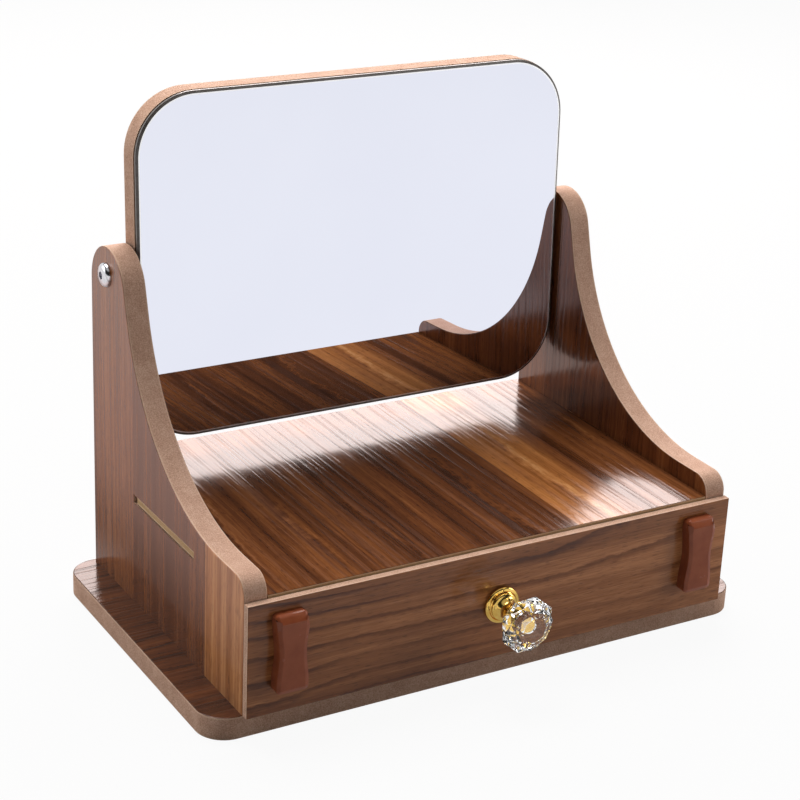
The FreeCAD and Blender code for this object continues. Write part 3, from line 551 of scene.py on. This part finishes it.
def smooth_finish(name, dark, light, rough, size=300, metal=0.0, spread=0.06, ior=1.5):
    """A smooth material that mottles between two colours, with handling marks in its polish."""
    material, tree, shader = new_material(name)
    marks = use_group(tree, handling, Place=node(tree, "TexCoord", out=3), Size=size)
    feed(tree, shader.inputs["Base Color"], ramp(tree, marks["Mottle"], (0.3, dark), (0.7, light)))
    polish = maths(tree, "MULTIPLY_ADD", marks["Mottle"], spread, rough - spread / 2)
    feed(tree, shader.inputs["Roughness"],
         maths(tree, "MULTIPLY_ADD", marks["Hairlines"], spread, polish))
    shader.inputs["Metallic"].default_value = metal
    shader.inputs["IOR"].default_value = ior
    return material


TRIM_WIDTH = 0.0166
TRIM_LENGTH = 0.040
TRIM_DEPTH = 0.0066
TRIM_WAIST = 0.0013             # how far each side is drawn in at the middle
TRIM_SHOULDER = 0.005           # straight part of each side at its ends
TRIM_BORDER = 0.0020            # slightly sloped border of the front face
TRIM_BORDER_FALL = 0.0007
TRIM_TOP_LENGTH = 0.0036        # steeper slope at the top, and how far it falls back
TRIM_TOP_FALL = 0.0028
TRIM_TOP_ROUND = 0.0013         # how far its upper edge is rounded
TRIM_CORNER = 0.0022
TRIM_EDGE_ROUND = 0.0006        # every other edge
TRIM_RINGS = 20                 # cuts along its length
SAME = 1e-5                     # places closer than this are one
stain = smooth_finish("stained lacquer", colour(136, 69, 42), colour(150, 80, 50), 0.22, 120,
                      ior=1.36)

for side in ("left", "right"):
    name = "drawer_trim_" + side
    low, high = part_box(name)
    centre = (low + high) / 2
    trim = begin("waisted_block_" + side, bpy.ops.mesh.primitive_cube_add, size=1,
                 location=(centre.x, face_y - TRIM_DEPTH / 2, centre.z),
                 scale=(TRIM_WIDTH, TRIM_DEPTH, TRIM_LENGTH))
    # Cut into rings, which are drawn in most at the middle.
    straight = TRIM_LENGTH / 2 - TRIM_SHOULDER
    heights = [centre.z - straight + 2 * straight * cut / TRIM_RINGS
               for cut in range(1, TRIM_RINGS)]
    for ring_z in heights:
        bpy.ops.mesh.select_all(action="SELECT")
        bpy.ops.mesh.bisect(plane_co=(centre.x, face_y, ring_z), plane_no=(0, 0, 1))
    for ring_z in heights:
        pick("VERT", lambda v: abs(v.co.z - ring_z) < SAME)
        waist = TRIM_WAIST * (1 - ((ring_z - centre.z) / straight) ** 2) ** 2
        bpy.ops.transform.resize(value=(1 - waist / (TRIM_WIDTH / 2), 1, 1),
                                 center_override=(centre.x, 0, ring_z))
    pick("EDGE", lambda e: abs(e.verts[0].co.y - e.verts[1].co.y) > TRIM_DEPTH / 2
         and abs(abs(middle(e).z - centre.z) - TRIM_LENGTH / 2) < SAME)
    bpy.ops.mesh.bevel(offset=TRIM_CORNER, segments=5, affect="EDGES")
    # The front face keeps its place and the border round it falls back.
    pick("FACE", lambda f: f.normal.y < -0.9)
    bpy.ops.mesh.inset(thickness=TRIM_BORDER, depth=0.0, use_even_offset=True)
    front = face_y - TRIM_DEPTH + SAME
    pick("VERT", lambda v: v.co.y < front and any(f.normal.y > -0.9 for f in v.link_faces))
    bpy.ops.transform.translate(value=(0, TRIM_BORDER_FALL, 0))
    top = centre.z + TRIM_LENGTH / 2 - TRIM_CORNER - SAME
    pick("VERT", lambda v: front < v.co.y < front + 0.001 and v.co.z > top)
    bpy.ops.transform.translate(value=(0, TRIM_TOP_FALL - TRIM_BORDER_FALL, 0))
    pick("VERT", lambda v: v.co.y < front and v.co.z > top)
    bpy.ops.transform.translate(value=(0, 0, TRIM_BORDER - TRIM_TOP_LENGTH))
    pick("EDGE", lambda e: all(v.co.z > centre.z + TRIM_LENGTH / 2 - SAME
                               and abs(v.co.y - front + SAME - TRIM_TOP_FALL) < SAME
                               for v in e.verts))
    bpy.ops.mesh.bevel(offset=TRIM_TOP_ROUND, segments=4, affect="EDGES")
    bpy.ops.object.mode_set(mode="OBJECT")
    modify(trim, "BEVEL", width=TRIM_EDGE_ROUND, segments=3, limit_method="ANGLE",
           angle_limit=math.radians(16))
    finish_piece(trim, stain, "drawer", name)


# ---- knob base
# Turned and gilded: a round flange, a ring, a hollow neck that widens to a beaded collar, and a
# spigot that goes into the glass. A screw from the inside of the drawer holds it.
def turn(name, centre, forward, rings, points):
    """Turns a solid: a disc is extruded from ring to ring, each given as (distance, radius), and
    resized each time. It stays in edit mode."""
    forward = Vector(forward)
    centre = Vector(centre)
    facing = forward.to_track_quat("Z", "Y").to_euler()
    distance, radius = rings[0]
    piece = begin(name, bpy.ops.mesh.primitive_circle_add, vertices=points, radius=radius,
                  fill_type="NGON", location=centre + forward * distance, rotation=facing)
    for next_distance, next_radius in rings[1:]:
        step = forward * (next_distance - distance)
        bpy.ops.mesh.extrude_region_move(TRANSFORM_OT_translate={"value": step})
        size = next_radius / radius
        bpy.ops.transform.resize(value=(size, size, size),
                                 center_override=centre + forward * next_distance)
        distance, radius = next_distance, next_radius
    bpy.ops.mesh.select_all(action="SELECT")
    bpy.ops.mesh.normals_make_consistent(inside=False)
    return piece


def rounded(start, end, radius, flat=0.0, steps=6):
    """Rings of a bead from start to end, that bulges out to the radius from flat less."""
    half = (end - start) / 2
    return [(start + half - half * math.cos(math.pi * i / steps),
             radius - flat + flat * math.sin(math.pi * i / steps)) for i in range(steps + 1)]


low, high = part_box("knob_base")
centre = (low + high) / 2
knob_centre = Vector((centre.x, face_y, centre.z))


def on_knob(distance):
    """The point on the knob's axis at this distance from the drawer front."""
    return Vector((knob_centre.x, knob_centre.y - distance, knob_centre.z))


def knob_angle(point):
    """The angle of a point about the knob's axis, in degrees."""
    return math.degrees(math.atan2(point.z - knob_centre.z, point.x - knob_centre.x))


# Each part of the profile is a row of rings, given as (distance from the drawer front, radius).
FLANGE = [(0.0, 0.0090)] + rounded(0.0001, 0.0021, 0.0097, 0.0010) + [(0.0023, 0.0079)]
RING = [(0.0020, 0.0074)] + rounded(0.0022, 0.0041, 0.0073, 0.0009)[1:]
COVE = [(0.0041 + 0.0040 * i / 8, 0.0063 - 0.0025 * math.sin(math.pi / 2 * i / 8) ** 0.7)
        for i in range(1, 9)]
NECK = [(0.0096, 0.0038), (0.0104, 0.0042), (0.0114, 0.0050), (0.0121, 0.0055), (0.0123, 0.0055)]
COLLAR = [(0.0125, 0.0061), (0.0129, 0.0064), (0.01335, 0.00648), (0.0138, 0.0064),
          (0.0142, 0.0061)]
SPIGOT = [(0.0144, 0.0056), (0.01441, 0.0035), (0.0214, 0.0035), (0.0219, 0.0032),
          (0.0222, 0.0025), (0.0224, 0.0012)]
COLLAR_BEADS = 16
BEAD_POINTS = 5                 # points round each bead, the first of them in the nick beside it
BEAD_NICK = 0.0053              # radius at the nicks
knob_points = COLLAR_BEADS * BEAD_POINTS
knob_base = turn("gilt_knob_base", knob_centre, (0, -1, 0),
                 FLANGE + RING + COVE + NECK + COLLAR + SPIGOT, knob_points)
for distance, radius in COLLAR:
    pick("VERT", lambda v: abs(knob_centre.y - v.co.y - distance) < SAME
         and round(knob_angle(v.co) / 360 * knob_points) % BEAD_POINTS == 0)
    bpy.ops.transform.resize(value=(BEAD_NICK / radius,) * 3, center_override=on_knob(distance))
bpy.ops.object.mode_set(mode="OBJECT")
gilt = smooth_finish("gilt", colour(232, 186, 92), colour(242, 204, 116), 0.13, 400, 1.0)
finish_piece(knob_base, gilt, "drawer", "knob_base", 40)

# ---- knob crystal
# One piece of clear cut glass with eight lobes: flat facets from the collar out to the girdle, and
# more from the girdle in to an eight-sided table. It is bored for the spigot and glued on.
CRYSTAL_TURN = 27.0             # degrees from the drawer's right to the first corner of the table
CRYSTAL_STEP = 22.5             # degrees from a lobe to the next dip
# Each ring: distance from the drawer front, radius, whether its even corners (0) or its odd ones (1)
# dip in, and to what share of the radius.
CRYSTAL_RINGS = ((0.0144, 0.0064, 0, 1.0), (0.0170, 0.0096, 0, 0.93), (0.0198, 0.0125, 1, 0.93),
                 (0.0226, 0.0145, 1, 0.925), (0.0244, 0.0145, 1, 0.925), (0.0264, 0.0128, 0, 0.94),
                 (0.0284, 0.0100, 1, 0.93),
                 (0.0301, 0.0066, 0, math.cos(math.radians(CRYSTAL_STEP))))
BORE = ((0.0140, 0.0036), (0.0225, 0.0036))     # a little deeper and wider than the spigot


def cut_away(piece, tool):
    """Takes the tool's shape out of the piece, and the tool away."""
    bpy.ops.object.mode_set(mode="OBJECT")
    bpy.ops.object.select_all(action="DESELECT")
    bpy.context.view_layer.objects.active = piece
    piece.select_set(True)
    modify(piece, "BOOLEAN", object=tool, operation="DIFFERENCE", solver="EXACT")
    bpy.data.objects.remove(tool)


crystal = turn("cut_glass_head", knob_centre, (0, -1, 0), [ring[:2] for ring in CRYSTAL_RINGS], 16)
shape = bmesh.from_edit_mesh(crystal.data)
table_angle = knob_angle(min(shape.verts, key=lambda v: v.co.y).co)
for distance, radius, dips, share in CRYSTAL_RINGS[1:]:
    pick("VERT", lambda v: abs(knob_centre.y - v.co.y - distance) <= SAME
         and round((knob_angle(v.co) - table_angle) / CRYSTAL_STEP) % 2 == dips)
    bpy.ops.transform.resize(value=(share, share, share), center_override=on_knob(distance))
bpy.ops.object.mode_set(mode="OBJECT")
swing = math.radians(table_angle - CRYSTAL_TURN)
crystal.data.transform(Matrix.Translation(knob_centre) @ Matrix.Rotation(swing, 4, "Y")
                       @ Matrix.Translation(-knob_centre))
bpy.ops.object.mode_set(mode="EDIT")
bpy.ops.mesh.select_all(action="SELECT")
bpy.ops.mesh.quads_convert_to_tris(quad_method="SHORTEST_DIAGONAL")
bpy.ops.mesh.normals_make_consistent(inside=False)
bpy.ops.object.mode_set(mode="OBJECT")
cut_away(crystal, turn("bore", knob_centre, (0, -1, 0), BORE, 48))
glass, tree, shader = new_material("clear cut glass")
marks = use_group(tree, handling, Place=node(tree, "TexCoord", out=3), Size=200)
feed(tree, shader.inputs["Base Color"],
     ramp(tree, marks["Mottle"], (0.3, (0.95, 0.96, 0.98)), (0.7, WHITE)))
feed(tree, shader.inputs["Roughness"], between(tree, marks["Hairlines"], 0.0, 1.0, 0.0, 0.01))
shader.inputs["Transmission Weight"].default_value = 1.0
shader.inputs["IOR"].default_value = 1.52
finish_piece(crystal, glass, "drawer", "knob_crystal", 1)

# ---- mirror board
# The same 12 mm board with rounded corners, hung between the side panels on two screws. It is
# tilted back a little on them.
MIRROR_TILT = 2.0               # degrees
BOARD_HALF = 0.006              # half the board's thickness
pivot = Vector((0, 0.0682, 0.178))


def to_mirror(tree, where):
    """Turns places into the mirror's own upright frame, about its pivot."""
    turned = node(tree, "VectorRotate", where, tuple(pivot), None, math.radians(MIRROR_TILT),
                  rotation_type="X_AXIS")
    return node(tree, "VectorMath", turned, tuple(-pivot), operation="ADD")


dress("mirror_board", board_material("mirror board walnut", "XZY", -BOARD_HALF, BOARD_HALF,
                                     (0.35, 0.85, 0.0), pitch=45, wave=3, dark=0.3, pale=0.0,
                                     streaks=0.7, tone=0.05, move=to_mirror))

# ---- mirror glass
# 2 mm silvered glass, a hair smaller than its board, held by tape. Its edge is ground to a small
# chamfer with a frosted line inside it, and its back is painted grey.
GLASS_HALF_WIDTH = 0.1241
GLASS_HALF_HEIGHT = 0.0897
GLASS_CORNER = 0.0317
GLASS_BACK = -0.0066            # from the board's middle
GLASS_THICKNESS = 0.002
GLASS_CHAMFER = 0.0013
GLASS_CHAMFER_FALL = 0.6        # how far the chamfer falls back, as a share of its width
GLASS_ARRIS = 0.0007            # frosted line inside the chamfer
COARSE_EDGE = 0.118             # beyond this, at the right, the line is coarser
mirror_glass = begin("silvered_glass", bpy.ops.mesh.primitive_cube_add, size=1,
                     location=(0, GLASS_BACK - GLASS_THICKNESS / 2, 0),
                     scale=(2 * GLASS_HALF_WIDTH, GLASS_THICKNESS, 2 * GLASS_HALF_HEIGHT))
pick("EDGE", lambda e: abs(e.verts[0].co.y - e.verts[1].co.y) > GLASS_THICKNESS / 2)
bpy.ops.mesh.bevel(offset=GLASS_CORNER, segments=24, affect="EDGES")
pick("FACE", lambda f: f.normal.y < -0.9)
bpy.ops.mesh.inset(thickness=GLASS_CHAMFER, depth=0.0)
bpy.ops.mesh.inset(thickness=GLASS_ARRIS, depth=0.0)


def from_outline(place):
    """How far a place lies inside the outline of the glass."""
    beyond = [max(abs(place[axis]) - half + GLASS_CORNER, 0)
              for axis, half in ((0, GLASS_HALF_WIDTH), (2, GLASS_HALF_HEIGHT))]
    return GLASS_CORNER - math.hypot(*beyond)


pick("VERT", lambda v: v.co.y < GLASS_BACK - GLASS_THICKNESS + SAME
     and from_outline(v.co) < GLASS_CHAMFER / 2)
bpy.ops.transform.translate(value=(0, GLASS_CHAMFER * GLASS_CHAMFER_FALL, 0))
bpy.ops.object.mode_set(mode="OBJECT")
silver, tree, shader = new_material("silvering")
marks = use_group(tree, handling, Place=node(tree, "TexCoord", out=3), Size=9)
feed(tree, shader.inputs["Base Color"],
     ramp(tree, marks["Mottle"], (0.3, (0.80, 0.82, 0.925)), (0.7, (0.82, 0.84, 0.94))))
feed(tree, shader.inputs["Roughness"], between(tree, marks["Hairlines"], 0.0, 1.0, 0.0, 0.012))
shader.inputs["Metallic"].default_value = 1.0
ground = smooth_finish("ground glass edge", colour(92, 86, 82), colour(112, 106, 102), 0.3, 500)
backing = smooth_finish("backing paint", colour(108, 110, 114), colour(122, 124, 128), 0.55, 300)
FROST = (colour(246, 247, 250), colour(252, 252, 254))
arris = smooth_finish("frosted arris", *FROST, 0.3, 500, 1.0)
coarse_arris = smooth_finish("coarse arris", *FROST, 0.55, 500, 1.0)
for material in (silver, ground, backing, arris, coarse_arris):
    mirror_glass.data.materials.append(material)
SILVER, GROUND, BACKING, ARRIS, COARSE_ARRIS = range(5)
for face in mirror_glass.data.polygons:
    if face.normal.y > 0.99:
        face.material_index = BACKING
    elif face.normal.y > -0.99:
        face.material_index = GROUND
    elif from_outline(face.center) > GLASS_CHAMFER + GLASS_ARRIS:
        face.material_index = SILVER
    else:
        face.material_index = COARSE_ARRIS if face.center.x > COARSE_EDGE else ARRIS
mirror_glass.data.transform(Matrix.Translation(pivot)
                            @ Matrix.Rotation(math.radians(-MIRROR_TILT), 4, "X"))
finish_piece(mirror_glass, None, "mirror", "mirror_glass", 20)

# ---- pivot screws
# Two M5 furniture screws, chromed, with a domed head and a hexagon socket. Each goes through a
# side panel and a washer into a threaded insert in the mirror board, which it clamps.
HEAD_RADIUS = 0.00625
HEAD_HEIGHT = 0.003
HEAD_RIM = 0.0002               # height of the rim below the dome
HEAD_RIM_ROUND = 0.0003
DOME_SHARE = 0.93               # keeps the dome's top a little below the head's full height
SHANK_RADIUS = 0.0025
SHANK_CHAMFER = 0.0004
SHANK_FILLET = 0.0002           # from the shank to the head
SOCKET_FLOOR = 0.0006           # from under the head
SOCKET_RADIUS = 0.0019 / math.cos(math.radians(30))
SOCKET = ((SOCKET_FLOOR, SOCKET_RADIUS), (HEAD_HEIGHT + 0.0004, SOCKET_RADIUS))
chrome = smooth_finish("bright steel", colour(206, 207, 212), colour(226, 227, 232), 0.14, 500,
                       1.0)
dome = [(HEAD_RIM + DOME_SHARE * HEAD_HEIGHT * math.sin(math.radians(a)) ** 0.9,
         HEAD_RADIUS * math.cos(math.radians(a)) ** 0.55)
        for a in (8, 18, 28, 38, 48, 58, 68, 76, 82, 86)]
for side, outward in (("left", -1), ("right", 1)):
    name = "pivot_screw_" + side
    low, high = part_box(name)
    tip, crown = (high.x, low.x) if outward < 0 else (low.x, high.x)
    under_head = crown - outward * HEAD_HEIGHT
    start = Vector((under_head, pivot.y, pivot.z))
    shank = abs(tip - under_head)
    rings = [(-shank, SHANK_RADIUS - SHANK_CHAMFER), (-shank + SHANK_CHAMFER, SHANK_RADIUS),
             (-SHANK_FILLET, SHANK_RADIUS), (0.0, HEAD_RADIUS - HEAD_RIM_ROUND),
             (HEAD_RIM, HEAD_RADIUS)]
    screw = turn("pivot_bolt_" + side, start, (outward, 0, 0), rings + dome, 48)
    bpy.ops.object.mode_set(mode="OBJECT")
    cut_away(screw, turn("socket", start, (outward, 0, 0), SOCKET, 6))
    finish_piece(screw, chrome, "mirror", name, 35)

# ---- screws, dowels, inserts, washers and tape
# Small bought fittings, most of them hidden once the mirror is put together: zinc-plated screws,
# brass inserts, nylon washers, foam tape behind the glass and beech dowels in the base.
zinc = smooth_finish("zinc plate", colour(150, 150, 156), colour(186, 186, 192), 0.34, 700, 1.0,
                     spread=0.12)
for name in ("base_screws", "drawer_screws", "knob_screw", "knob_washer"):
    dress(name, zinc)
brass = smooth_finish("turned brass", colour(178, 142, 72), colour(204, 168, 96), 0.26, 700, 1.0)
nylon = smooth_finish("nylon", colour(216, 214, 204), colour(230, 228, 220), 0.45, 300)
foam = smooth_finish("foam tape", colour(196, 196, 190), colour(216, 216, 210), 0.85, 1500)
beech = smooth_finish("beech", colour(196, 158, 114), colour(220, 184, 138), 0.6, 900)
for name, material in (("mirror_inserts", brass), ("pivot_washers", nylon), ("mirror_tape", foam),
                       ("base_dowels", beech)):
    dress(name, material)

scene.view_settings.view_transform = "Standard"
